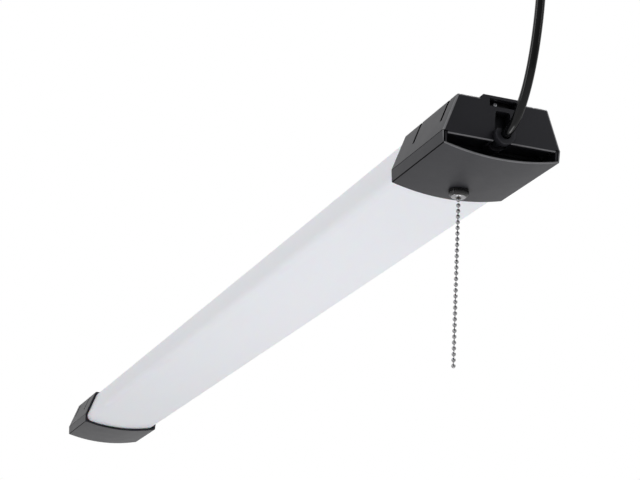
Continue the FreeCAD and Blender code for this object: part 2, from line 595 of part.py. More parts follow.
def make_lead():
    """Mains lead: strain relief, the hanging tube, the tied hank, the tail and the plug."""
    relief = fused([rod(CUP_BORE, (END_X + 1.0, 0, CORD_Z), (END_X - 11, 0, CORD_Z)),
                    rod(5.3, (END_X - 11, 0, CORD_Z), (END_X - 13.5, 0, CORD_Z)),
                    rod(4.4, (END_X - 13.5, 0, CORD_Z), (END_X - 18, 0, CORD_Z))])
    parts["strain_relief"] = relief.cut(rod(2.4, (END_X - 8, 0, CORD_Z), (END_X - 19, 0, CORD_Z)))
    radii = []
    tube, length = swept(CORD_ROUTE, CORD_D / 2, report=radii)
    ideal = math.pi * (CORD_D / 2) ** 2 * length
    print("lead: length %.1f, radii %s, volume %.1f of %.1f" % (length, radii, tube.Volume, ideal))
    parts["cord_tube"] = tube
    hank = box((HANK_X0, HANK_Y - HANK_HALF, HANK_LOW), (HANK_X1, HANK_Y + HANK_HALF, HANK_HIGH))
    hank = bevelled(hank, 1.0, lambda e: abs(e.tangentAt(0).z) > 0.99)
    middle, edge = (HANK_X0 + HANK_X1) / 2, TIE_HALF - TIE_THICK
    inside = box((middle - BIG, HANK_Y - edge, HANK_LOW + TIE_THICK),
                 (middle + BIG, HANK_Y + edge, HANK_HIGH - TIE_THICK))
    band = box((middle - TIE_WIDTH / 2, HANK_Y - TIE_HALF, HANK_LOW),
               (middle + TIE_WIDTH / 2, HANK_Y + TIE_HALF, HANK_HIGH))
    around = box((middle - TIE_WIDTH / 2, -BIG, -BIG), (middle + TIE_WIDTH / 2, BIG, BIG))
    parts["cord_hank"] = hank.cut(around.cut(inside))
    parts["hank_tie"] = bevelled(band, 2.5, runs_along_x).cut(inside)
    tail_radii = []
    tail, tail_length = swept(TAIL_ROUTE, CORD_D / 2, report=tail_radii)
    print("tail: length %.1f, radii %s" % (tail_length, tail_radii))
    parts["cord_tail"] = tail
    body = box((PLUG_X - 38, PLUG_Y - 13, PLUG_Z - 10), (PLUG_X, PLUG_Y + 13, PLUG_Z + 10))
    body = bevelled(body, 6.0, lambda e: abs(e.tangentAt(0).x) > 0.99)
    parts["plug_body"] = body
    face = PLUG_X - 38
    parts["plug_blades"] = group([
        box((face - 16, PLUG_Y + y - 0.75, PLUG_Z - 5.2), (face, PLUG_Y + y + 0.75, PLUG_Z + 1.2))
        for y in (-6.35, 6.35)])
    parts["plug_ground_pin"] = rod(2.4, (face - 19, PLUG_Y, PLUG_Z + 6), (face, PLUG_Y, PLUG_Z + 6))


# ---------------------------------------------------------------- wiring

def make_wiring():
    """Wires from the lead to the terminals, and from the driver to the lamps and switch."""
    low = DRIVER_TOP - 2.6 - 8
    start = END_X - 18
    for name, y, rise in (("live_wire", -2.6, 0.4), ("neutral_wire", 2.6, 0.4), ("earth_wire", 0, 2.0)):
        route = [(start, y * 0.45, CORD_Z + rise), (start - 3.0, y * 0.45, CORD_Z + rise),
                 (WIRE_X, y * 0.8, CORD_Z + rise + 3.0), (WIRE_X, y, low)]
        parts[name], _ = swept(route, 0.8, 0.4)
    lamp = []
    for y in (-4.0, 4.0):
        route = [(DRIVER_X0 + 2, y, -5.6), (DRIVER_X0 + 2, y, -11),
                 (DRIVER_X0 - 24, y * 1.5, -12.5), (RIM_X - 9, y * 1.5, -8),
                 (RIM_X - 9, y * 1.5, -TRAY_STEEL - BOARD_THICK)]
        lamp.append(swept(route, 0.7, 0.4)[0])
    parts["lamp_wires"] = group(lamp)
    loop = []
    for y in (-3.0, 1.5):
        route = [(SWITCH_X + 4, y, -18), (SWITCH_X + 4, y, -15.2),
                 (DRIVER_X0 + 10, y, -14.8), (DRIVER_X0 + 10, y, -5.6)]
        loop.append(swept(route, 0.7, 0.4)[0])
    parts["switch_wires"] = group(loop)


make_caps()
make_light_engine()
make_driver()
make_switch()
make_chain()
make_lead()
make_wiring()

os.makedirs("parts", exist_ok=True)
for name, shape in parts.items():
    solids = shape.Solids
    bad = [s for s in solids if not s.isValid() or s.Volume <= 0]
    print(f"{name}: {len(solids)} solid(s), {sum(s.Volume for s in solids) / 1000:.2f} cm3"
          + (", NOT VALID" if bad else ""))
    shape.exportStep(f"parts/{name}.step")
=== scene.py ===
"""LED strip batten: dresses the CAD frame of a hanging pull-chain light. Lengths are in metres."""
import json
import math

import bmesh
import bpy
from bpy.props import FloatProperty, FloatVectorProperty, IntProperty, PointerProperty
from mathutils import Matrix, Vector


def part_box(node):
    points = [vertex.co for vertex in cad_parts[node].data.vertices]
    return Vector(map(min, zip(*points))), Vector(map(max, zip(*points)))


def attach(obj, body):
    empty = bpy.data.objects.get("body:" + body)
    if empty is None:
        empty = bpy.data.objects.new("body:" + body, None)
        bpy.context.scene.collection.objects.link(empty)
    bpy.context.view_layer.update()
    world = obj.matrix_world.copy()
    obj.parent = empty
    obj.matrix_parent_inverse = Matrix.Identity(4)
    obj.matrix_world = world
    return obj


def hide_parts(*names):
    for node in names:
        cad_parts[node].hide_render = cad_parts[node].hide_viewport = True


bl_info = {
    "name": "LED Strip Batten",
    "version": (1, 0, 0),
    "blender": (4, 5, 0),
    "location": "3D View > Sidebar > Batten",
    "description": "Builds the shells, diffuser, switch, bead chain and lead of a hanging LED light",
    "category": "Object",
}

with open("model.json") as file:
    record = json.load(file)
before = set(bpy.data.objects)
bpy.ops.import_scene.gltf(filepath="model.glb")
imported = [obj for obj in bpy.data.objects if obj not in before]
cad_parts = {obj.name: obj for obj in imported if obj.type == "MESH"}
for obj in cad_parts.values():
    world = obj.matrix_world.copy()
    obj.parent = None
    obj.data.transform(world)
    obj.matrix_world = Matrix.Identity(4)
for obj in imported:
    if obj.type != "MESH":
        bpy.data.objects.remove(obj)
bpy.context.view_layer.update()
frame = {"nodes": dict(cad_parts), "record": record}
NODES = frame["nodes"]
MM = 0.001
# the rim marks below carry a painted highlight in the materials
HIGHLIGHT_RIM = "rim"              # face attribute: 1 on the rounded rims of a piece


# ------------------------------------------------------------------ what a user would change

class BattenSizes(bpy.types.PropertyGroup):
    """Sizes of the pieces that Blender makes."""

    lead_diameter: FloatProperty(
        name="Lead Diameter", description="Outside of the mains lead", default=0.0066,
        min=0.004, max=0.01, subtype="DISTANCE", unit="LENGTH")
    lead_length: FloatProperty(
        name="Lead Length", description="Whole length of the mains lead", default=1.68,
        min=0.5, max=3.0, subtype="DISTANCE", unit="LENGTH")
    bead_diameter: FloatProperty(
        name="Bead Diameter", description="Ball of the pull chain", default=0.0032,
        min=0.002, max=0.006, subtype="DISTANCE", unit="LENGTH")
    bead_pitch: FloatProperty(
        name="Bead Pitch", description="From one ball to the next", default=0.00427,
        min=0.003, max=0.008, subtype="DISTANCE", unit="LENGTH")
    edge_radius: FloatProperty(
        name="Edge Radius", description="Softness of the moulded shells' edges", default=0.0004,
        min=0.0001, max=0.001, subtype="DISTANCE", unit="LENGTH")
    knurls: IntProperty(
        name="Knurls", description="Ribs round the switch's ring nut", default=28, min=12, max=60)


def colour_property(name, description, default):
    return FloatVectorProperty(name=name, description=description, default=default,
                               size=3, min=0.0, max=1.0, subtype="COLOR")


class BattenColours(bpy.types.PropertyGroup):
    """Base colours of the main finishes."""

    shell: colour_property("Shell", "Moulded end caps", (0.0138, 0.0138, 0.0170))
    opal: colour_property("Diffuser", "Opal polycarbonate", (0.91, 0.89, 0.95))
    tray: colour_property("Tray", "Powder coat of the steel back", (0.80, 0.80, 0.79))
    lead: colour_property("Lead", "Jacket of the mains lead", (0.003, 0.003, 0.0035))
    chrome: colour_property("Chrome", "Bell mouth and bead chain", (0.42, 0.42, 0.43))
    floor: colour_property("Floor", "Studio floor", (0.86, 0.86, 0.86))


# ------------------------------------------------------------------ shader groups

def shader_group(name, inputs, outputs):
    """Empty shader node group with named float, vector or colour sockets."""
    group = bpy.data.node_groups.new(name, "ShaderNodeTree")
    for label, kind, default in inputs:
        socket = group.interface.new_socket(name=label, in_out="INPUT", socket_type=kind)
        socket.default_value = default
    for label, kind in outputs:
        group.interface.new_socket(name=label, in_out="OUTPUT", socket_type=kind)
    start = group.nodes.new("NodeGroupInput")
    end = group.nodes.new("NodeGroupOutput")
    return group, start.outputs, end.inputs


def add(tree, kind, links=(), **values):
    """Add a node to a tree, set its properties and link sockets into it by name or number."""
    node = tree.nodes.new(kind)
    for key, value in values.items():
        setattr(node, key, value)
    for socket, source in links:
        if hasattr(source, "is_output"):
            tree.links.new(source, node.inputs[socket])
        else:
            node.inputs[socket].default_value = source
    return node


def maths(tree, operation, a, b, clamp=False):
    """Result socket of a two-value Math node."""
    return add(tree, "ShaderNodeMath", [(0, a), (1, b)], operation=operation, use_clamp=clamp).outputs[0]


def grain_group():
    """Fine spark-eroded grain of a moulding, as a height."""
    tree, given, out = shader_group(
        "Moulded grain", [("Scale", "NodeSocketFloat", 1600.0), ("Coarse", "NodeSocketFloat", 0.35)],
        [("Height", "NodeSocketFloat")])
    place = add(tree, "ShaderNodeTexCoord").outputs["Object"]
    fine = add(tree, "ShaderNodeTexNoise", [("Vector", place), ("Scale", given["Scale"]),
                                            ("Detail", 3.0), ("Roughness", 0.6)])
    coarse_scale = maths(tree, "MULTIPLY", given["Scale"], 0.22)
    coarse = add(tree, "ShaderNodeTexVoronoi", [("Vector", place), ("Scale", coarse_scale)],
                 feature="SMOOTH_F1")
    scaled = maths(tree, "MULTIPLY", coarse.outputs["Distance"], given["Coarse"])
    tree.links.new(maths(tree, "ADD", fine.outputs["Fac"], scaled), out["Height"])
    return tree


def mottle_group():
    """Slow drift of a colour and of a gloss over a surface."""
    tree, given, out = shader_group(
        "Slow mottle",
        [("Color", "NodeSocketColor", (0.5, 0.5, 0.5, 1)), ("Scale", "NodeSocketFloat", 14.0),
         ("Amount", "NodeSocketFloat", 0.08), ("Gloss", "NodeSocketFloat", 0.45),
         ("Gloss Drift", "NodeSocketFloat", 0.06)],
        [("Color", "NodeSocketColor"), ("Roughness", "NodeSocketFloat")])
    place = add(tree, "ShaderNodeTexCoord").outputs["Object"]
    cloud = add(tree, "ShaderNodeTexNoise", [("Vector", place), ("Scale", given["Scale"]),
                                             ("Detail", 4.0), ("Roughness", 0.55)])
    centred = maths(tree, "SUBTRACT", cloud.outputs["Fac"], 0.5)
    factor = maths(tree, "ADD", maths(tree, "MULTIPLY", centred, given["Amount"]), 1.0)
    scale = add(tree, "ShaderNodeVectorMath", [(0, given["Color"]), ("Scale", factor)], operation="SCALE")
    tree.links.new(scale.outputs[0], out["Color"])
    fine_scale = maths(tree, "MULTIPLY", given["Scale"], 5.0)
    smear = add(tree, "ShaderNodeTexNoise", [("Vector", place), ("Scale", fine_scale), ("Detail", 3.0)])
    drift = maths(tree, "MULTIPLY", maths(tree, "SUBTRACT", smear.outputs["Fac"], 0.5), given["Gloss Drift"])
    tree.links.new(maths(tree, "ADD", given["Gloss"], drift, clamp=True), out["Roughness"])
    return tree


def rim_highlight_group():
    """Mask where a highlight is painted on the marked rims of a piece, broken up by noise."""
    tree, given, out = shader_group(
        "Polished rims", [("Amount", "NodeSocketFloat", 1.0), ("Breakup", "NodeSocketFloat", 90.0)],
        [("Mask", "NodeSocketFloat")])
    place = add(tree, "ShaderNodeTexCoord").outputs["Object"]
    rim = add(tree, "ShaderNodeAttribute", attribute_name=HIGHLIGHT_RIM).outputs["Fac"]
    noise = add(tree, "ShaderNodeTexNoise", [("Vector", place), ("Scale", given["Breakup"]), ("Detail", 3.0)])
    broken = maths(tree, "ADD", maths(tree, "MULTIPLY", noise.outputs["Fac"], 0.9), 0.5, clamp=True)
    both = maths(tree, "MULTIPLY", rim, broken)
    tree.links.new(maths(tree, "MULTIPLY", both, given["Amount"], clamp=True), out["Mask"])
    return tree


def painted_hollow_shade_group():
    """How open a place is: 1 on open faces, near 0 in slots and recesses; materials use it to paint shade into
    hollows.
    """
    tree, given, out = shader_group(
        "Shaded hollows", [("Reach", "NodeSocketFloat", 0.004), ("Depth", "NodeSocketFloat", 0.8)],
        [("Open", "NodeSocketFloat")])
    around = add(tree, "ShaderNodeAmbientOcclusion", [("Distance", given["Reach"])], samples=6)
    lifted = maths(tree, "MULTIPLY", maths(tree, "SUBTRACT", around.outputs["AO"], 0.45), 2.1, clamp=True)
    closed = maths(tree, "MULTIPLY", maths(tree, "SUBTRACT", 1.0, lifted), given["Depth"])
    tree.links.new(maths(tree, "SUBTRACT", 1.0, closed, clamp=True), out["Open"])
    return tree


def dust_group():
    """Mask of the thin dust that settles on upward faces."""
    tree, given, out = shader_group(
        "Settled dust", [("Amount", "NodeSocketFloat", 0.3), ("Scale", "NodeSocketFloat", 60.0)],
        [("Mask", "NodeSocketFloat")])
    place = add(tree, "ShaderNodeTexCoord").outputs["Object"]
    normal = add(tree, "ShaderNodeNewGeometry").outputs["Normal"]
    up = add(tree, "ShaderNodeSeparateXYZ", [(0, normal)]).outputs["Z"]
    noise = add(tree, "ShaderNodeTexNoise", [("Vector", place), ("Scale", given["Scale"]), ("Detail", 6.0)])
    facing = maths(tree, "MULTIPLY", maths(tree, "SUBTRACT", up, 0.3), 1.4, clamp=True)
    patchy = maths(tree, "MULTIPLY", facing, noise.outputs["Fac"])
    tree.links.new(maths(tree, "MULTIPLY", patchy, given["Amount"], clamp=True), out["Mask"])
    return tree


GROUPS = {}


def group_node(tree, name, links=()):
    """Place one of the shared shader groups in a material."""
    node = tree.nodes.new("ShaderNodeGroup")
    node.node_tree = GROUPS[name]
    for socket, source in links:
        if hasattr(source, "is_output"):
            tree.links.new(source, node.inputs[socket])
        else:
            node.inputs[socket].default_value = source
    return node.outputs


# ------------------------------------------------------------------ finishes

def finish_material(name, colour, gloss, mottle=0.08, drift=0.06, mottle_scale=14.0, grain=None,
                    edges=None, dust=0.0, hollows=0.0, **constants):
    """Principled material with drifting colour and gloss, moulded grain, a painted highlight on marked rims, dust
    and painted shade in hollows (darker colour and less specular where ambient occlusion closes in).

    grain is (scale, height in metres), edges is (colour, amount) of the highlight painted on the marked rims, and
    constants are values for the Principled sockets by name, with _ for a space.
    """
    material = bpy.data.materials.new(name)
    material.use_nodes = True
    tree = material.node_tree
    shader = tree.nodes["Principled BSDF"]
    for key, value in constants.items():
        shader.inputs[key.replace("_", " ")].default_value = value
    slow = group_node(tree, "mottle", [("Color", (*colour, 1)), ("Scale", mottle_scale), ("Amount", mottle),
                                       ("Gloss", gloss), ("Gloss Drift", drift)])
    tone = slow["Color"]
    # painted highlight: the edges colour is blended onto the marked rims, where light would catch
    if edges:
        mask = group_node(tree, "edges", [("Amount", edges[1])])["Mask"]
        tone = blend_colour(tree, mask, tone, (*edges[0], 1))
    if dust:
        mask = group_node(tree, "dust", [("Amount", dust)])["Mask"]
        tone = blend_colour(tree, mask, tone, (0.45, 0.43, 0.40, 1))
    # painted shade: in slots and recesses the colour goes to near black and the specular level drops, by ambient
    # occlusion
    if hollows:
        clear = group_node(tree, "hollows", [("Depth", hollows)])["Open"]
        tone = blend_colour(tree, clear, (0.002, 0.002, 0.002, 1), tone)
        shine = maths(tree, "MULTIPLY", clear, shader.inputs["Specular IOR Level"].default_value)
        tree.links.new(shine, shader.inputs["Specular IOR Level"])
    tree.links.new(tone, shader.inputs["Base Color"])
    tree.links.new(slow["Roughness"], shader.inputs["Roughness"])
    if grain:
        height = group_node(tree, "grain", [("Scale", grain[0])])["Height"]
        bump = add(tree, "ShaderNodeBump", [("Height", height), ("Distance", grain[1]), ("Strength", 1.0)])
        tree.links.new(bump.outputs[0], shader.inputs["Normal"])
    return material


def blend_colour(tree, mask, under, over):
    """Mix of two colours by a mask."""
    node = tree.nodes.new("ShaderNodeMix")
    node.data_type = "RGBA"
    for socket, source in ((0, mask), (6, under), (7, over)):
        if hasattr(source, "is_output"):
            tree.links.new(source, node.inputs[socket])
        else:
            node.inputs[socket].default_value = source
    return node.outputs[2]


MATERIALS = {}


def make_materials(colours):
    """Every finish of the light, by the name of its material slot."""
    GROUPS.update(grain=grain_group(), mottle=mottle_group(), edges=rim_highlight_group(), dust=dust_group(),
                  hollows=painted_hollow_shade_group())
    m = MATERIALS
    # the shell's edges colour is a painted highlight on its end-facing rims; hollows paints shade into its
    # recesses
    m["black_shell"] = finish_material(
        "Moulded black ABS", colours.shell, 0.44, mottle=0.12, drift=0.08, grain=(2200.0, 0.00002),
        edges=((0.30, 0.30, 0.31), 0.8), dust=0.04, hollows=0.72, Specular_IOR_Level=0.43, Specular_Tint=(0.93, 0.93, 1.0, 1.0))
    # near-black painted shade for the side-slot walls and the bottom-corner rounds of the caps
    m["slot_wall"] = finish_material(
        "Unlit slot", (0.0012, 0.0012, 0.0013), 0.7, mottle=0.1, drift=0.05, Specular_IOR_Level=0.05)
    m["black_steel"] = finish_material(
        "Black zinc plate", (0.012, 0.012, 0.013), 0.45, mottle=0.2, drift=0.12, mottle_scale=200.0,
        hollows=0.9, Metallic=0.3)
    m["opal"] = finish_material(
        "Opal polycarbonate", colours.opal, 0.36, mottle=0.02, drift=0.05, mottle_scale=5.0,
        grain=(900.0, 0.00001), Subsurface_Weight=0.25, Subsurface_Scale=0.004, IOR=1.55)
    # on the tray the edges colour is darker than the coat, so its marked rims are painted darker
    m["white_steel"] = finish_material(
        "White powder coat", colours.tray, 0.38, mottle=0.04, drift=0.08, grain=(700.0, 0.00005),
        edges=((0.45, 0.45, 0.46), 0.35), dust=0.25, Coat_Weight=0.15, Coat_Roughness=0.25)
    m["zinc_steel"] = finish_material(
        "Bright zinc plate", (0.62, 0.63, 0.66), 0.28, mottle=0.25, drift=0.18, mottle_scale=320.0,
        grain=(1500.0, 0.00002), Metallic=1.0)
    m["black_screw"] = finish_material(
        "Black oxide screw", (0.035, 0.034, 0.036), 0.34, mottle=0.3, drift=0.15, mottle_scale=300.0,
        edges=((0.35, 0.34, 0.33), 0.6), Metallic=0.8)
    m["chrome_plate"] = finish_material(
        "Bright plated brass", colours.chrome, 0.09, mottle=0.25, drift=0.06, mottle_scale=420.0, Metallic=1.0)
    m["black_nylon"] = finish_material(
        "Black nylon", (0.018, 0.018, 0.019), 0.32, mottle=0.15, drift=0.12, mottle_scale=120.0,
        grain=(1800.0, 0.00003), edges=((0.12, 0.12, 0.12), 0.4))
    m["brass_part"] = finish_material(
        "Plain brass", (0.72, 0.53, 0.24), 0.24, mottle=0.22, drift=0.16, mottle_scale=180.0,
        grain=(900.0, 0.00001), Metallic=1.0)
    m["spring_steel"] = finish_material(
        "Drawn spring wire", (0.42, 0.42, 0.44), 0.3, mottle=0.2, drift=0.12, mottle_scale=600.0, Metallic=1.0)
    m["white_board"] = finish_material(
        "White solder mask", (0.86, 0.86, 0.85), 0.30, mottle=0.05, drift=0.08, mottle_scale=60.0,
        grain=(1200.0, 0.00001))
    m["lamp_chip"] = finish_material(
        "Phosphor", (0.90, 0.70, 0.20), 0.35, mottle=0.12, drift=0.08, mottle_scale=900.0)
    m["green_board"] = finish_material(
        "Green board", (0.02, 0.16, 0.06), 0.32, mottle=0.25, drift=0.10, mottle_scale=240.0,
        grain=(1500.0, 0.00001))
    m["film"] = finish_material("Insulating film", (0.05, 0.05, 0.055), 0.28, mottle=0.15, drift=0.12)
    m["winding"] = finish_material(
        "Taped winding", (0.72, 0.52, 0.06), 0.35, mottle=0.25, drift=0.14, mottle_scale=200.0,
        grain=(600.0, 0.00004))
    m["copper_coil"] = finish_material(
        "Enamelled copper", (0.55, 0.20, 0.08), 0.25, mottle=0.3, drift=0.12, mottle_scale=700.0,
        grain=(900.0, 0.00008), Metallic=0.9)
    m["capacitor_can"] = finish_material(
        "Sleeved can", (0.03, 0.03, 0.07), 0.26, mottle=0.15, drift=0.10, mottle_scale=150.0)
    m["chip_black"] = finish_material(
        "Moulded epoxy", (0.022, 0.022, 0.024), 0.5, mottle=0.2, drift=0.08, mottle_scale=400.0,
        grain=(2500.0, 0.00002))
    m["terminal_white"] = finish_material(
        "White nylon", (0.78, 0.77, 0.72), 0.38, mottle=0.06, drift=0.08, mottle_scale=150.0,
        grain=(1500.0, 0.00001))
    m["cord_jacket"] = finish_material(
        "Glossy black jacket", colours.lead, 0.12, mottle=0.25, drift=0.06, mottle_scale=90.0,
        grain=(1400.0, 0.000004), dust=0.004, Specular_IOR_Level=0.30)
    m["tie_strap"] = finish_material(
        "Woven strap", (0.02, 0.02, 0.021), 0.8, mottle=0.35, drift=0.1, mottle_scale=700.0,
        grain=(1100.0, 0.00025), Sheen_Weight=0.4, Sheen_Roughness=0.5)
    for slot, colour in (("wire_black", (0.015, 0.015, 0.016)), ("wire_white", (0.78, 0.78, 0.75)),
                         ("wire_green", (0.02, 0.24, 0.05))):
        m[slot] = finish_material("Insulation " + slot[5:], colour, 0.3, mottle=0.15, drift=0.1,
                                  mottle_scale=200.0)
    m["floor"] = finish_material("Studio floor", colours.floor, 0.75, mottle=0.02, drift=0.04,
                                 mottle_scale=2.0)


def paint(piece, slot):
    """Give a piece one finish."""
    piece.data.materials.clear()
    piece.data.materials.append(MATERIALS[slot])


# ------------------------------------------------------------------ mesh helpers

def new_piece(name, mesh):
    """Object for a finished mesh, in the scene and at the origin."""
    piece = bpy.data.objects.new(name, mesh)
    bpy.context.scene.collection.objects.link(piece)
    return piece


def plain(piece):
    """Turn a piece with modifiers, or a curve, into a plain mesh that keeps its name."""
    name = piece.name
    shown = piece.evaluated_get(bpy.context.evaluated_depsgraph_get())
    mesh = bpy.data.meshes.new_from_object(shown)
    bpy.data.objects.remove(piece)
    return new_piece(name, mesh)


def settle(piece, body, slot, nodes=(), shade=True):
    """Put a finished piece on its body and say what it stands for."""
    if shade:
        paint(piece, slot)
    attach(piece, body)
    if nodes:
        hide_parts(*nodes)
    return piece


def from_bmesh(name, bm, smooth_under=35.0):
    """Piece from a bmesh, smooth except where faces meet at more than an angle."""
    limit = math.radians(smooth_under)
    for face in bm.faces:
        face.smooth = True
    for edge in bm.edges:
        edge.smooth = len(edge.link_faces) == 2 and edge.calc_face_angle() < limit
    mesh = bpy.data.meshes.new(name)
    bm.to_mesh(mesh)
    bm.free()
    return new_piece(name, mesh)


def merged_copy(node):
    """A CAD node's mesh as a bmesh, with its doubled points merged and flat faces whole."""
    mesh = NODES[node].data.copy()
    for layer in ("custom_normal", "sharp_edge", "sharp_face"):
        if layer in mesh.attributes:
            mesh.attributes.remove(mesh.attributes[layer])
    bm = bmesh.new()
    bm.from_mesh(mesh)
    bmesh.ops.remove_doubles(bm, verts=bm.verts, dist=2e-6)
    bmesh.ops.dissolve_limit(bm, angle_limit=math.radians(0.4), verts=bm.verts, edges=bm.edges,
                             delimit={"NORMAL"})
    return bm


def softened(node, name, radius, segments=2, angle=28.0):
    """Copy of a CAD node with rounded edges, as a moulding or a stamping has."""
    piece = from_bmesh(name, merged_copy(node), 30.0)
    bevel = piece.modifiers.new("Rounded edges", "BEVEL")
    bevel.width = radius
    bevel.segments = segments
    bevel.limit_method = "ANGLE"
    bevel.angle_limit = math.radians(angle)
    bevel.harden_normals = True
    bevel.use_clamp_overlap = True
    bevel.miter_outer = "MITER_ARC"
    piece = plain(piece)
    mark_highlight_rims(piece.data, 2.5 * radius)
    return piece


def mark_highlight_rims(mesh, width):
    """Store which faces are narrow and turned along the light, so that the material paints a highlight on these
    rims.
    """
    rims = mesh.attributes.new(HIGHLIGHT_RIM, "FLOAT", "FACE").data
    for face, value in zip(mesh.polygons, rims):
        corners = [mesh.vertices[v].co for v in face.vertices]
        around = sum((a - b).length for a, b in zip(corners, corners[1:] + corners[:1]))
        narrow = 2.0 * face.area < width * around
        value.value = 1.0 if narrow and abs(face.normal.x) > 0.3 else 0.0


def lathe(name, profile, centre, steps=64, smooth_under=35.0):
    """Closed body of revolution about a vertical axis, from (radius, z) points."""
    bm = bmesh.new()
    rings = []
    for radius, z in profile:
        rings.append([bm.verts.new((centre[0] + radius * math.cos(2 * math.pi * k / steps),
                                    centre[1] + radius * math.sin(2 * math.pi * k / steps), z))
                      for k in range(steps)])
    for a, b in zip(rings, rings[1:] + rings[:1]):
        for k in range(steps):
            n = (k + 1) % steps
            bm.faces.new((a[k], a[n], b[n], b[k]))
    bmesh.ops.recalc_face_normals(bm, faces=bm.faces)
    return from_bmesh(name, bm, smooth_under)


def islands(node):
    """(centre, lowest corner, highest corner) of each separate solid in a CAD node."""
    bm = bmesh.new()
    bm.from_mesh(NODES[node].data)
    bmesh.ops.remove_doubles(bm, verts=bm.verts, dist=2e-6)
    found, seen = [], set()
    for vert in bm.verts:
        if vert in seen:
            continue
        stack, members = [vert], []
        seen.add(vert)
        while stack:
            here = stack.pop()
            members.append(here.co.copy())
            for edge in here.link_edges:
                other = edge.other_vert(here)
                if other not in seen:
                    seen.add(other)
                    stack.append(other)
        low = Vector([min(p[i] for p in members) for i in range(3)])
        high = Vector([max(p[i] for p in members) for i in range(3)])
        found.append(((low + high) / 2, low, high))
    bm.free()
    return found


# ------------------------------------------------------------------ geometry node helpers

def geometry_tree(name, inputs):
    """Geometry node tree with named inputs, its input sockets and its output socket."""
    tree = bpy.data.node_groups.new(name, "GeometryNodeTree")
    tree.interface.new_socket(name="Geometry", in_out="INPUT", socket_type="NodeSocketGeometry")
    for label, kind, default in inputs:
        socket = tree.interface.new_socket(name=label, in_out="INPUT", socket_type=kind)
        if default is not None:
            socket.default_value = default
    tree.interface.new_socket(name="Geometry", in_out="OUTPUT", socket_type="NodeSocketGeometry")
    return tree, tree.nodes.new("NodeGroupInput").outputs, tree.nodes.new("NodeGroupOutput").inputs


def close_tree(tree, shape, material, out):
    """End a tree in Realize Instances and Set Material."""
    real = add(tree, "GeometryNodeRealizeInstances", [(0, shape)])
    done = add(tree, "GeometryNodeSetMaterial", [("Geometry", real.outputs[0]), ("Material", material)])
    tree.links.new(done.outputs[0], out["Geometry"])


def grown(name, tree, base, values):
    """Plain mesh of a tree run on a base mesh with the given input values."""
    piece = new_piece(name, base)
    modifier = piece.modifiers.new("Grow", "NODES")
    modifier.node_group = tree
    for item in tree.interface.items_tree:
        if item.in_out == "INPUT" and item.name in values:
            modifier[item.identifier] = values[item.name]
    piece.update_tag()
    return plain(piece)


def point_mesh(name, points):
    """Mesh of loose points."""
    mesh = bpy.data.meshes.new(name)
    mesh.from_pydata([tuple(p) for p in points], [], [])
    return mesh


def scatter_tree():
    """Places one given shape on every point of the base mesh."""
    tree, given, out = geometry_tree(
        "Place on points", [("Shape", "NodeSocketObject", None), ("Material", "NodeSocketMaterial", None)])
    shape = add(tree, "GeometryNodeObjectInfo", [("Object", given["Shape"])], transform_space="ORIGINAL")
    placed = add(tree, "GeometryNodeInstanceOnPoints",
                 [("Points", given["Geometry"]), ("Instance", shape.outputs["Geometry"])])
    close_tree(tree, placed.outputs[0], given["Material"], out)
    return tree


def bead_tree():
    """Run of hollow beads strung on wire links, hanging down from its first bead."""
    tree, given, out = geometry_tree(
        "Bead run",
        [("Beads", "NodeSocketInt", 10), ("Pitch", "NodeSocketFloat", 0.00427),
         ("Bead Radius", "NodeSocketFloat", 0.0016), ("Wire Radius", "NodeSocketFloat", 0.0004),
         ("Wire Top", "NodeSocketFloat", 0.0), ("Wire Length", "NodeSocketFloat", 0.01),
         ("Place", "NodeSocketVector", (0, 0, 0)), ("Material", "NodeSocketMaterial", None)])
    down = add(tree, "ShaderNodeMath", [(0, given["Pitch"]), (1, -1.0)], operation="MULTIPLY").outputs[0]
    step = add(tree, "ShaderNodeCombineXYZ", [("Z", down)]).outputs[0]
    line = add(tree, "GeometryNodeMeshLine", [("Count", given["Beads"]), ("Start Location", given["Place"]),
                                              ("Offset", step)])
    ball = add(tree, "GeometryNodeMeshUVSphere", [("Segments", 20), ("Rings", 12),
                                                  ("Radius", given["Bead Radius"])])
    lip_radius = add(tree, "ShaderNodeMath", [(0, given["Bead Radius"]), (1, 0.42)], operation="MULTIPLY")
    lip_depth = add(tree, "ShaderNodeMath", [(0, given["Bead Radius"]), (1, 1.94)], operation="MULTIPLY")
    lip = add(tree, "GeometryNodeMeshCylinder", [("Vertices", 12), ("Radius", lip_radius.outputs[0]),
                                                 ("Depth", lip_depth.outputs[0])])
    bead = add(tree, "GeometryNodeJoinGeometry")
    tree.links.new(ball.outputs["Mesh"], bead.inputs[0])
    tree.links.new(lip.outputs["Mesh"], bead.inputs[0])
    smooth = add(tree, "GeometryNodeSetShadeSmooth", [("Geometry", bead.outputs[0])])
    strung = add(tree, "GeometryNodeInstanceOnPoints", [("Points", line.outputs[0]),
                                                        ("Instance", smooth.outputs[0])])
    wire = add(tree, "GeometryNodeMeshCylinder", [("Vertices", 10), ("Radius", given["Wire Radius"]),
                                                  ("Depth", given["Wire Length"])])
    half = add(tree, "ShaderNodeMath", [(0, given["Wire Length"]), (1, -0.5)], operation="MULTIPLY").outputs[0]
    centre = add(tree, "ShaderNodeMath", [(0, given["Wire Top"]), (1, half)], operation="ADD").outputs[0]
    parts = add(tree, "ShaderNodeSeparateXYZ", [(0, given["Place"])]).outputs
    spot = add(tree, "ShaderNodeCombineXYZ", [("X", parts["X"]), ("Y", parts["Y"]), ("Z", centre)])
    moved = add(tree, "GeometryNodeTransform", [("Geometry", wire.outputs["Mesh"]),
                                                ("Translation", spot.outputs[0])])
    whole = add(tree, "GeometryNodeJoinGeometry")
    tree.links.new(strung.outputs[0], whole.inputs[0])
    tree.links.new(moved.outputs[0], whole.inputs[0])
    close_tree(tree, whole.outputs[0], given["Material"], out)
    return tree


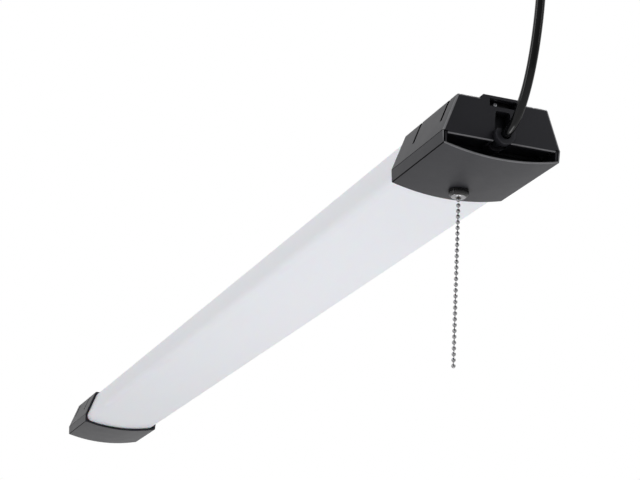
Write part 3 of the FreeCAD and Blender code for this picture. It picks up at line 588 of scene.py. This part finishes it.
def knurl_tree():
    """Ring of upright ribs about a vertical axis, added to the base mesh."""
    tree, given, out = geometry_tree(
        "Knurled ring",
        [("Ribs", "NodeSocketInt", 28), ("Ring Radius", "NodeSocketFloat", 0.0072),
         ("Rib Radius", "NodeSocketFloat", 0.0005), ("Height", "NodeSocketFloat", 0.0035),
         ("Place", "NodeSocketVector", (0, 0, 0)), ("Material", "NodeSocketMaterial", None)])
    circle = add(tree, "GeometryNodeMeshCircle", [("Vertices", given["Ribs"]), ("Radius", given["Ring Radius"])])
    placed = add(tree, "GeometryNodeTransform", [("Geometry", circle.outputs[0]),
                                                 ("Translation", given["Place"])])
    rib = add(tree, "GeometryNodeMeshCylinder", [("Vertices", 8), ("Side Segments", 1),
                                                 ("Radius", given["Rib Radius"]), ("Depth", given["Height"])])
    smooth = add(tree, "GeometryNodeSetShadeSmooth", [("Geometry", rib.outputs["Mesh"])])
    ribs = add(tree, "GeometryNodeInstanceOnPoints", [("Points", placed.outputs[0]),
                                                      ("Instance", smooth.outputs[0])])
    whole = add(tree, "GeometryNodeJoinGeometry")
    tree.links.new(ribs.outputs[0], whole.inputs[0])
    tree.links.new(given["Geometry"], whole.inputs[0])
    close_tree(tree, whole.outputs[0], given["Material"], out)
    return tree


# ------------------------------------------------------------------ the lead's route

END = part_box("near_cap_upper")[1].x - 6.0 * MM      # the end plate's face; the cup stands 6 mm out

LEAD_ROUTE = [
    (END + 0.0010, 0, -0.0234), (END + 0.0100, 0, -0.0234), (END + 0.0240, 0, -0.0170),
    (END + 0.0370, 0, -0.0010), (END + 0.0470, 0, 0.0200), (END + 0.0530, 0.0005, 0.0460),
    (END + 0.0536, 0.0018, 0.0710), (END + 0.0535, 0.0040, 0.0950), (END + 0.0500, 0.0075, 0.1170),
    (END + 0.0380, 0.0135, 0.1340), (END + 0.0200, 0.0220, 0.1430), (END + 0.0005, 0.0305, 0.1415),
    (END - 0.0140, 0.0365, 0.1290), (END - 0.0208, 0.0386, 0.1075), (END - 0.0210, 0.0370, 0.0841),
    (END - 0.0224, 0.0340, 0.0538), (END - 0.0269, 0.0310, 0.0295), (END - 0.0380, 0.0298, 0.0130),
    (END - 0.0600, 0.0296, 0.0087), (END - 0.0840, 0.0294, 0.0088), (END - 0.1080, 0.0293, 0.0044),
    (END - 0.1300, 0.0293, 0.0044),
]
HANK_Y = 0.0101
FOLD_RADIUS = 0.0206
HANK_TURNS = 3
HANK_FLOOR = 0.0044
HANK_X0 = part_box("cord_hank")[0].x
TAIL_ROUTE = [
    (HANK_X0 + 0.004, 0.0296, 0.0242), (HANK_X0 - 0.010, 0.0293, 0.0242), (HANK_X0 - 0.021, 0.0270, 0.0205),
    (HANK_X0 - 0.032, 0.0235, 0.0155), (HANK_X0 - 0.046, 0.0210, 0.0125), (HANK_X0 - 0.054, 0.0210, 0.0125),
]


def hank_route(diameter):
    """Control points of the stored turns: long ovals, one on another, drawn in where the tie holds them."""
    low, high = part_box("cord_hank")
    middle = (low.x + high.x) / 2
    half_run = (high.x - low.x) / 2 - diameter / 2 - FOLD_RADIUS
    waist = diameter * 0.52
    reach = FOLD_RADIUS / math.cos(math.radians(18))
    lap = []
    straight = half_run - reach * math.sin(math.radians(18))
    for share in (1.0, 0.5, 0.0, -0.5, -1.0):
        spread = waist + (FOLD_RADIUS - waist) * math.sin(math.pi / 2 * abs(share)) ** 2
        lap.append((straight * share, spread))
    for angle in (108, 144, 180, 216, 252):
        a = math.radians(angle)
        lap.append((reach * math.cos(a) - half_run, reach * math.sin(a)))
    lap += [(-x, -y) for x, y in lap]
    points = []
    for turn in range(HANK_TURNS):
        shrink = (1.0, 0.99, 0.995)[turn % 3]
        for index, (x, y) in enumerate(lap):
            share = index / len(lap)
            step = min(max((share - 0.78) / 0.22, 0.0), 1.0)
            rise = turn + step * step * (3 - 2 * step)
            points.append((middle + x * (shrink if index > 4 else 1.0), HANK_Y + y,
                           HANK_FLOOR + diameter * rise))
    for x, y in lap[:5]:
        points.append((middle + x, HANK_Y + y, HANK_FLOOR + diameter * HANK_TURNS))
    return points


def nurbs_curve(name, points, radius=0.0):
    """Open smooth NURBS curve with the points as its control points."""
    data = bpy.data.curves.new(name, "CURVE")
    data.dimensions = "3D"
    spline = data.splines.new("NURBS")
    spline.points.add(len(points) - 1)
    for control, point in zip(spline.points, points):
        control.co = (*point, 1.0)
    spline.order_u = 3
    spline.use_endpoint_u = True
    spline.resolution_u = 12
    spline.use_smooth = True
    data.bevel_depth = radius
    data.bevel_resolution = 6
    data.use_fill_caps = radius > 0
    return new_piece(name, data)


def curve_line(points):
    """Points along the smooth route, close together."""
    guide = nurbs_curve("guide", points)
    shown = guide.evaluated_get(bpy.context.evaluated_depsgraph_get())
    mesh = bpy.data.meshes.new_from_object(shown)
    line = [v.co.copy() for v in mesh.vertices]
    bpy.data.objects.remove(guide)
    bpy.data.meshes.remove(mesh)
    return line


def sleeve_along(name, line, radii, thickness_steps=24):
    """Round tapered sleeve along a line of points, with one radius for each point."""
    bm = bmesh.new()
    rings = []
    for index, (point, radius) in enumerate(zip(line, radii)):
        ahead = line[min(index + 1, len(line) - 1)] - line[max(index - 1, 0)]
        turn = ahead.normalized().to_track_quat("Z", "Y")
        rings.append([bm.verts.new(point + turn @ Vector((radius * math.cos(2 * math.pi * k / thickness_steps),
                                                         radius * math.sin(2 * math.pi * k / thickness_steps), 0)))
                      for k in range(thickness_steps)])
    for a, b in zip(rings, rings[1:]):
        for k in range(thickness_steps):
            n = (k + 1) % thickness_steps
            bm.faces.new((a[k], a[n], b[n], b[k]))
    bm.faces.new(rings[0])
    bm.faces.new(rings[-1])
    bmesh.ops.recalc_face_normals(bm, faces=bm.faces)
    return from_bmesh(name, bm, 50.0)


# ------------------------------------------------------------------ operators

class BATTEN_OT_stage(bpy.types.Operator):
    """Add the camera, the soft studio light and the pale floor"""

    bl_idname = "batten.stage"
    bl_label = "Stage"

    CAMERA_PLACE = (1.65512, -0.497729, -0.47382)
    HEADING, CLIMB, ROLL = 160.902, 17.502, 3.123
    LENS = 101.24
    FLOOR_Z = -0.95
    SURROUND, LEAN = 0.54, 0.28

    def execute(self, context):
        scene = context.scene
        data = bpy.data.cameras.new("camera")
        data.lens = self.LENS
        data.sensor_width = 36.0
        data.sensor_fit = "HORIZONTAL"
        data.clip_start = 0.01
        camera = bpy.data.objects.new("camera", data)
        turn = (Matrix.Rotation(math.radians(self.HEADING - 90), 4, "Z")
                @ Matrix.Rotation(math.radians(90 + self.CLIMB), 4, "X")
                @ Matrix.Rotation(math.radians(self.ROLL), 4, "Z"))
        camera.matrix_world = Matrix.Translation(self.CAMERA_PLACE) @ turn
        scene.collection.objects.link(camera)
        scene.camera = camera
        scene.view_settings.view_transform = "Standard"

        floor = new_piece("studio_floor", self.floor_mesh())
        paint(floor, "floor")
        self.light_world(scene)
        self.soft_light("underneath", (0.28, 0.1, -0.88), (0.28, 0.0, 0.0), (0.4, 0.4), 1.6)
        self.soft_light("left", (0.5, -2.2, 0.4), (0.3, 0.0, 0.0), (0.4, 1.8), 9.5)
        self.soft_light("over", (0.2, 0.45, 1.3), (0.5, 0.0, 0.0), (0.8, 0.8), 16.0)
        self.soft_light("right", (2.1, 1.5, 0.7), (0.6, 0.0, 0.1), (0.25, 1.5), 3.5)
        return {"FINISHED"}

    def floor_mesh(self):
        """Plain floor under the light, out of the camera's sight."""
        mesh = bpy.data.meshes.new("studio_floor")
        corners = [(-2.2, -3), (3, -3), (3, 3), (-2.2, 3)]
        mesh.from_pydata([(x, y, self.FLOOR_Z) for x, y in corners], [], [(0, 1, 2, 3)])
        return mesh

    def light_world(self, scene):
        """White surround, which lights the object from a soft dome that is brighter behind it."""
        world = bpy.data.worlds.new("studio")
        world.use_nodes = True
        scene.world = world
        tree = world.node_tree
        back = tree.nodes["Background"]
        back.inputs["Color"].default_value = (1, 1, 1, 1)
        towards = add(tree, "ShaderNodeTexCoord").outputs["Generated"]
        along = add(tree, "ShaderNodeSeparateXYZ", [(0, towards)]).outputs["X"]
        dome = maths(tree, "SUBTRACT", self.SURROUND, maths(tree, "MULTIPLY", along, self.LEAN))
        seen = add(tree, "ShaderNodeLightPath").outputs["Is Camera Ray"]
        rest = maths(tree, "MULTIPLY", seen, maths(tree, "SUBTRACT", 1.0, dome))
        tree.links.new(maths(tree, "ADD", dome, rest), back.inputs["Strength"])

    def soft_light(self, name, place, target, size, power, spread=180.0):
        """Rectangular soft box that faces a target."""
        data = bpy.data.lights.new(name, "AREA")
        data.shape = "RECTANGLE"
        data.size, data.size_y = size
        data.energy = power
        data.spread = math.radians(spread)
        light = bpy.data.objects.new(name, data)
        aim = Vector(target) - Vector(place)
        light.matrix_world = Matrix.Translation(place) @ aim.to_track_quat("-Z", "Y").to_matrix().to_4x4()
        bpy.context.scene.collection.objects.link(light)


class BATTEN_OT_lead(bpy.types.Operator):
    """Lay the mains lead: up from its cup, over, and down to a tied hank on the back, with its plug"""

    bl_idname = "batten.lead"
    bl_label = "Mains Lead"

    def execute(self, context):
        sizes = context.scene.batten_sizes
        diameter = sizes.lead_diameter
        route = LEAD_ROUTE + hank_route(diameter) + TAIL_ROUTE
        lead = nurbs_curve("mains_lead", route, diameter / 2)
        settle(lead, "housing", "cord_jacket", ("cord_tube", "cord_hank", "cord_tail"))
        line = curve_line(route)
        relief = self.plug_relief(line, diameter)
        tie = self.tie(context)
        plug = self.plug_body(diameter)
        blades = softened("plug_blades", "plug_blade_pair", 0.0002)
        settle(blades, "housing", "brass_part", ("plug_blades",))
        pin = softened("plug_ground_pin", "plug_earth_pin", 0.0008, 3)
        settle(pin, "housing", "brass_part", ("plug_ground_pin",))
        gland = softened("strain_relief", "lead_gland", 0.0003)
        settle(gland, "housing", "cord_jacket", ("strain_relief",))
        return {"FINISHED"}

    def plug_relief(self, line, diameter):
        """Ribbed sleeve that tapers from the plug onto the lead."""
        length, ribs = 0.026, 7
        travelled, places = 0.0, [line[-1]]
        for a, b in zip(reversed(line), reversed(line[:-1])):
            travelled += (a - b).length
            if travelled > length:
                break
            places.append(b)
        fine, radii = [], []
        samples = ribs * 6
        lengths = [0.0]
        for a, b in zip(places, places[1:]):
            lengths.append(lengths[-1] + (a - b).length)
        for k in range(samples + 1):
            want = lengths[-1] * k / samples
            j = max(i for i, have in enumerate(lengths) if have <= want + 1e-12)
            j = min(j, len(places) - 2)
            share = (want - lengths[j]) / (lengths[j + 1] - lengths[j])
            fine.append(places[j].lerp(places[j + 1], share))
            taper = k / samples
            wave = 0.00035 * math.cos(2 * math.pi * k / 6) * (1 - taper)
            radii.append(diameter / 2 + 0.0005 + 0.0024 * (1 - taper) + wave)
        sleeve = sleeve_along("plug_strain_relief", fine, radii)
        return settle(sleeve, "housing", "cord_jacket")

    def plug_body(self, diameter):
        """Moulded plug, from a round neck to a flat face with rounded corners."""
        low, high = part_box("plug_body")
        middle = (low + high) / 2
        half_y, half_z = (high.y - low.y) / 2, (high.z - low.z) / 2
        neck = Vector(TAIL_ROUTE[-1])
        stations = [(0.00, 0.30, 1.0), (0.05, 0.36, 1.0), (0.16, 0.52, 0.85), (0.30, 0.78, 0.6), (0.42, 0.90, 0.4),
                    (0.55, 0.86, 0.4), (0.68, 0.86, 0.4), (0.80, 0.98, 0.3), (0.96, 1.0, 0.25), (1.0, 0.95, 0.25)]
        bm = bmesh.new()
        rings, steps = [], 32
        for share, scale, roundness in stations:
            x = high.x + (low.x - high.x) * share
            ring = []
            for k in range(steps):
                angle = 2 * math.pi * k / steps
                power = 0.35 + 0.65 * roundness
                cy = math.copysign(abs(math.cos(angle)) ** power, math.cos(angle))
                cz = math.copysign(abs(math.sin(angle)) ** power, math.sin(angle))
                round_size = min(half_y, half_z) * scale
                wide = round_size * roundness + half_y * scale * (1 - roundness)
                tall = round_size * roundness + half_z * scale * (1 - roundness)
                settle_in = min(share * 2.5, 1.0)
                cy0 = neck.y + (middle.y - neck.y) * settle_in
                cz0 = neck.z + (middle.z - neck.z) * settle_in
                ring.append(bm.verts.new((x, cy0 + wide * cy, cz0 + tall * cz)))
            rings.append(ring)
        for a, b in zip(rings, rings[1:]):
            for k in range(steps):
                n = (k + 1) % steps
                bm.faces.new((a[k], a[n], b[n], b[k]))
        bm.faces.new(rings[0])
        bm.faces.new(rings[-1])
        bmesh.ops.recalc_face_normals(bm, faces=bm.faces)
        piece = from_bmesh("moulded_plug", bm, 60.0)
        smooth = piece.modifiers.new("Smooth", "SUBSURF")
        smooth.levels = smooth.render_levels = 1
        piece = plain(piece)
        return settle(piece, "housing", "cord_jacket", ("plug_body",))

    def tie(self, context):
        """Hook-and-loop strap round the middle of the hank."""
        low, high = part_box("hank_tie")
        thick = 0.0008
        half_y, half_z = (high.y - low.y) / 2 - thick / 2, (high.z - low.z) / 2 - thick / 2
        cy, cz, corner = (low.y + high.y) / 2, (low.z + high.z) / 2, 0.003
        outline = []
        for sy, sz, start in ((1, 1, 0), (-1, 1, 90), (-1, -1, 180), (1, -1, 270)):
            for k in range(5):
                a = math.radians(start + 90 * k / 4)
                outline.append((cy + sy * (half_y - corner) + corner * math.cos(a),
                                cz + sz * (half_z - corner) + corner * math.sin(a)))
        bm = bmesh.new()
        columns = 8
        grid = []
        for y, z in outline:
            row = []
            for c in range(columns + 1):
                u = c / columns
                bulge = 0.0004 * math.sin(math.pi * u)
                out_y, out_z = (y - cy) / half_y, (z - cz) / half_z
                row.append(bm.verts.new((low.x + (high.x - low.x) * u, y + out_y * bulge - 0.0003 * out_y,
                                         z + out_z * bulge - 0.0003 * out_z)))
            grid.append(row)
        for a, b in zip(grid, grid[1:] + grid[:1]):
            for c in range(columns):
                bm.faces.new((a[c], a[c + 1], b[c + 1], b[c]))
        bmesh.ops.recalc_face_normals(bm, faces=bm.faces)
        piece = from_bmesh("hank_strap", bm, 60.0)
        wall = piece.modifiers.new("Wall", "SOLIDIFY")
        wall.thickness = thick
        wall.offset = 0.0
        edge = piece.modifiers.new("Edge", "BEVEL")
        edge.width = 0.00015
        edge.segments = 2
        edge.limit_method = "ANGLE"
        piece = plain(piece)
        return settle(piece, "housing", "tie_strap", ("hank_tie",))


class BATTEN_OT_caps(bpy.types.Operator):
    """Dress the four moulded shells of the end caps"""

    bl_idname = "batten.caps"
    bl_label = "End Caps"

    SLOT_INSETS = (0.0140, 0.0632)      # middles of the side slots, from the end plate
    SLOT_HALF = 0.00215
    SLOT_LOW = -0.0150
    SLOT_Y = 0.0294
    CORNER_HIGH = -0.0340
    CORNER_Y = 0.0430

    def execute(self, context):
        radius = context.scene.batten_sizes.edge_radius
        for node, name in (("near_cap_upper", "near_cap_back"), ("near_cap_lower", "near_cap_front"),
                           ("far_cap_upper", "far_cap_back"), ("far_cap_lower", "far_cap_front")):
            shell = softened(node, name, radius)
            settle(shell, "housing", "black_shell", (node,))
            # painted shade: faces in the slots and on the bottom-corner rounds get the near-black material
            shell.data.materials.append(MATERIALS["slot_wall"])
            for face, rim in zip(shell.data.polygons, shell.data.attributes[HIGHLIGHT_RIM].data):
                if self.in_shade(face):
                    face.material_index = 1
                # no painted highlight on the cup that stands out past the end plate
                if abs(face.center.x) > END + 1.0 * MM:
                    rim.value = 0.0
        return {"FINISHED"}

    def in_shade(self, face):
        """True on the walls of the side slots and on the tight rounds along the bottom corners, which get the
        near-black painted shade.
        """
        x, y, z = abs(face.center.x), abs(face.center.y), face.center.z
        if z > self.SLOT_LOW:
            across = min(abs(END - inset - x) for inset in self.SLOT_INSETS)
            return y > self.SLOT_Y and across < self.SLOT_HALF and abs(face.normal.y) < 0.5
        return z < self.CORNER_HIGH and y > self.CORNER_Y and 0.3 < abs(face.normal.y) < 0.93


class BATTEN_OT_diffuser(bpy.types.Operator):
    """Dress the opal diffuser and the steel tray behind it"""

    bl_idname = "batten.diffuser"
    bl_label = "Diffuser and Tray"

    def execute(self, context):
        opal = softened("diffuser", "opal_diffuser", 0.0002, 2, 40.0)
        settle(opal, "housing", "opal", ("diffuser",))
        tray = softened("back_tray", "steel_tray", 0.0003, 2, 40.0)
        settle(tray, "housing", "white_steel", ("back_tray",))
        return {"FINISHED"}


class BATTEN_OT_screws(bpy.types.Operator):
    """Set the cross-head screws in the caps"""

    bl_idname = "batten.screws"
    bl_label = "Screws"

    def execute(self, context):
        tree = scatter_tree()
        kinds = (("near_cap_screws", "black_screw"), ("far_cap_screws", "black_screw"),
                 ("near_tray_screws", "zinc_steel"), ("far_tray_screws", "zinc_steel"))
        for node, slot in kinds:
            places = islands(node)
            centre, low, high = places[0]
            shape = self.screw(node + "_shape", (high.x - low.x) / 2, high.z - low.z)
            base = point_mesh(node + "_places", [(c.x, c.y, h.z) for c, l, h in places])
            piece = grown(node.replace("screws", "screw_set"), tree, base,
                          {"Shape": shape, "Material": MATERIALS[slot]})
            bpy.data.objects.remove(shape)
            settle(piece, "housing", slot, (node,), shade=False)
        return {"FINISHED"}

    def screw(self, name, radius, length):
        """Pan-head screw that hangs from its top, with a cross recess and a plain shank."""
        crown, shank = 0.0018, radius * 0.48
        profile = [(0.0001, -0.00005), (radius * 0.45, -0.0001), (radius * 0.8, -0.0004), (radius * 0.97, -0.0009),
                   (radius, -0.0013), (radius * 0.98, -crown), (shank, -crown), (shank, -length * 0.9),
                   (0.0001, -length)]
        body = lathe(name, profile, (0, 0), 32, 40.0)
        cutter = self.cross(name + "_cutter", radius)
        hollow = body.modifiers.new("Recess", "BOOLEAN")
        hollow.operation = "DIFFERENCE"
        hollow.object = cutter
        hollow.solver = "EXACT"
        hollow.use_self = True
        body = plain(body)
        bpy.data.objects.remove(cutter)
        return body

    def cross(self, name, radius):
        """Tapered cross that cuts a screw's recess."""
        bm = bmesh.new()
        arm, width, depth = radius * 0.62, radius * 0.13, 0.0013
        for turn in (0, 90):
            for_turn = Matrix.Rotation(math.radians(turn), 4, "Z")
            made = bmesh.ops.create_cube(bm, size=1.0)["verts"]
            for vert in made:
                taper = 1.0 if vert.co.z > 0 else 0.45
                vert.co = for_turn @ Vector((vert.co.x * 2 * arm * taper, vert.co.y * 2 * width,
                                             0.0004 if vert.co.z > 0 else -depth))
        bmesh.ops.recalc_face_normals(bm, faces=bm.faces)
        return from_bmesh(name, bm)


class BATTEN_OT_switch(bpy.types.Operator):
    """Make the ring nut and the bell mouth of the pull switch"""

    bl_idname = "batten.switch"
    bl_label = "Pull Switch"

    def execute(self, context):
        low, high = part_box("switch_nut")
        x, y = (low.x + high.x) / 2, (low.y + high.y) / 2
        outer = (high.x - low.x) / 2
        rib = 0.00055
        inner = 0.00506
        body = outer - rib * 0.8
        profile = [(inner, high.z), (body, high.z), (body, low.z + 0.0009), (body - 0.0003, low.z + 0.0003),
                   (body - 0.0010, low.z), (inner + 0.0006, low.z), (inner, low.z + 0.0004)]
        ring = lathe("ring_base", profile, (x, y), 72)
        base = ring.data
        bpy.data.objects.remove(ring)
        height = high.z - low.z - 0.0014
        nut = grown("switch_ring_nut", knurl_tree(), base, {
            "Ribs": context.scene.batten_sizes.knurls, "Ring Radius": outer - rib, "Rib Radius": rib,
            "Height": height, "Place": (x, y, low.z + 0.0008 + height / 2), "Material": MATERIALS["black_nylon"]})
        settle(nut, "housing", "black_nylon", ("switch_nut",), shade=False)

        low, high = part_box("switch_bell")
        r = (high.x - low.x) / 2
        top, bottom = high.z, low.z
        drop = top - bottom
        profile = [(0.00508, top), (r - 0.0002, top), (r, top - 0.0002)]
        for k in range(9):
            a = math.radians(90 * k / 8)
            profile.append((0.0032 + (r - 0.0032) * math.cos(a) ** 0.8, top - drop * (0.25 + 0.68 * math.sin(a))))
        profile += [(0.0031, bottom), (0.0024, bottom), (0.0021, bottom + 0.0002), (0.0021, bottom + 0.0005),
                    (0.0034, bottom + 0.0007), (0.00508, top - 0.00085)]
        bell = lathe("bell_mouth", profile, (x, y), 72, 45.0)
        settle(bell, "housing", "chrome_plate", ("switch_bell",))
        return {"FINISHED"}


class BATTEN_OT_chain(bpy.types.Operator):
    """String the bead chain, one piece for each body that it hangs on"""

    bl_idname = "batten.chain"
    bl_label = "Bead Chain"

    def execute(self, context):
        sizes = context.scene.batten_sizes
        tree = bead_tree()
        radius, pitch = sizes.bead_diameter / 2, sizes.bead_pitch
        for node, body, name in (("chain_top_link", "chain_top", "beads_top"),
                                 ("chain_upper", "chain_upper", "beads_upper"),
                                 ("chain_middle_link", "chain_middle", "beads_middle"),
                                 ("chain_lower", "chain_lower", "beads_lower")):
            low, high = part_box(node)
            x, y = (low.x + high.x) / 2, (low.y + high.y) / 2
            above = pitch / 2 - 0.00025
            first = high.z - above
            count = 1 + round((first - low.z - radius) / pitch)
            empty = bpy.data.meshes.new(name)
            piece = grown(name, tree, empty, {
                "Beads": count, "Pitch": pitch, "Bead Radius": radius, "Wire Radius": 0.00042,
                "Wire Top": high.z, "Wire Length": high.z - low.z - 0.0001, "Place": (x, y, first),
                "Material": MATERIALS["chrome_plate"]})
            settle(piece, body, "chrome_plate", (node,), shade=False)
        return {"FINISHED"}


class BATTEN_OT_lamps(bpy.types.Operator):
    """Solder the LED packages on their boards"""

    bl_idname = "batten.lamps"
    bl_label = "LED Packages"

    def execute(self, context):
        tree = scatter_tree()
        for number in (1, 2):
            node = f"leds_{number}"
            places = islands(node)
            centre, low, high = places[0]
            shape = self.package(node + "_shape", high - low)
            base = point_mesh(node + "_places", [c for c, l, h in places])
            piece = grown(f"led_package_set_{number}", tree, base,
                          {"Shape": shape, "Material": MATERIALS["lamp_chip"]})
            bpy.data.objects.remove(shape)
            settle(piece, "housing", "lamp_chip", (node,), shade=False)
        return {"FINISHED"}

    def package(self, name, size):
        """Small package with a sunken window, facing down."""
        bm = bmesh.new()
        made = bmesh.ops.create_cube(bm, size=1.0)["verts"]
        for vert in made:
            vert.co = Vector((vert.co.x * size.x, vert.co.y * size.y, vert.co.z * size.z))
        bottom = [f for f in bm.faces if f.normal.z < -0.9]
        bmesh.ops.inset_individual(bm, faces=bottom, thickness=0.0003, depth=0.0)
        bmesh.ops.translate(bm, verts=bottom[0].verts, vec=(0, 0, 0.00015))
        return from_bmesh(name, bm)


class BATTEN_OT_inside(bpy.types.Operator):
    """Give every other CAD piece its finish"""

    bl_idname = "batten.inside"
    bl_label = "Inner Pieces"

    def execute(self, context):
        for entry in frame["record"]["subparts"]:
            node = NODES[entry["node"]]
            if not node.hide_render:
                paint(node, entry["material_slot"])
        return {"FINISHED"}


class BATTEN_PT_panel(bpy.types.Panel):
    """Buttons and settings for the batten"""

    bl_idname = "BATTEN_PT_panel"
    bl_label = "LED Strip Batten"
    bl_space_type = "VIEW_3D"
    bl_region_type = "UI"
    bl_category = "Batten"

    def draw(self, context):
        layout = self.layout
        for settings in (context.scene.batten_sizes, context.scene.batten_colours):
            column = layout.column(align=True)
            for name in settings.__annotations__:
                column.prop(settings, name)
        column = layout.column(align=True)
        for operator in OPERATORS:
            column.operator(operator.bl_idname)


OPERATORS = (BATTEN_OT_stage, BATTEN_OT_lead, BATTEN_OT_caps, BATTEN_OT_diffuser, BATTEN_OT_screws,
             BATTEN_OT_switch, BATTEN_OT_chain, BATTEN_OT_lamps, BATTEN_OT_inside)
CLASSES = (BattenSizes, BattenColours, *OPERATORS, BATTEN_PT_panel)


def register():
    for cls in CLASSES:
        bpy.utils.register_class(cls)
    bpy.types.Scene.batten_sizes = PointerProperty(type=BattenSizes)
    bpy.types.Scene.batten_colours = PointerProperty(type=BattenColours)


def unregister():
    del bpy.types.Scene.batten_colours
    del bpy.types.Scene.batten_sizes
    for cls in reversed(CLASSES):
        bpy.utils.unregister_class(cls)


def main():
    """Register the add-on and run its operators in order."""
    register()
    make_materials(bpy.context.scene.batten_colours)
    bpy.ops.batten.stage()
    bpy.ops.batten.lead()
    bpy.ops.batten.caps()
    bpy.ops.batten.diffuser()
    bpy.ops.batten.screws()
    bpy.ops.batten.switch()
    bpy.ops.batten.chain()
    bpy.ops.batten.lamps()
    bpy.ops.batten.inside()


if __name__ == "__main__":
    main()
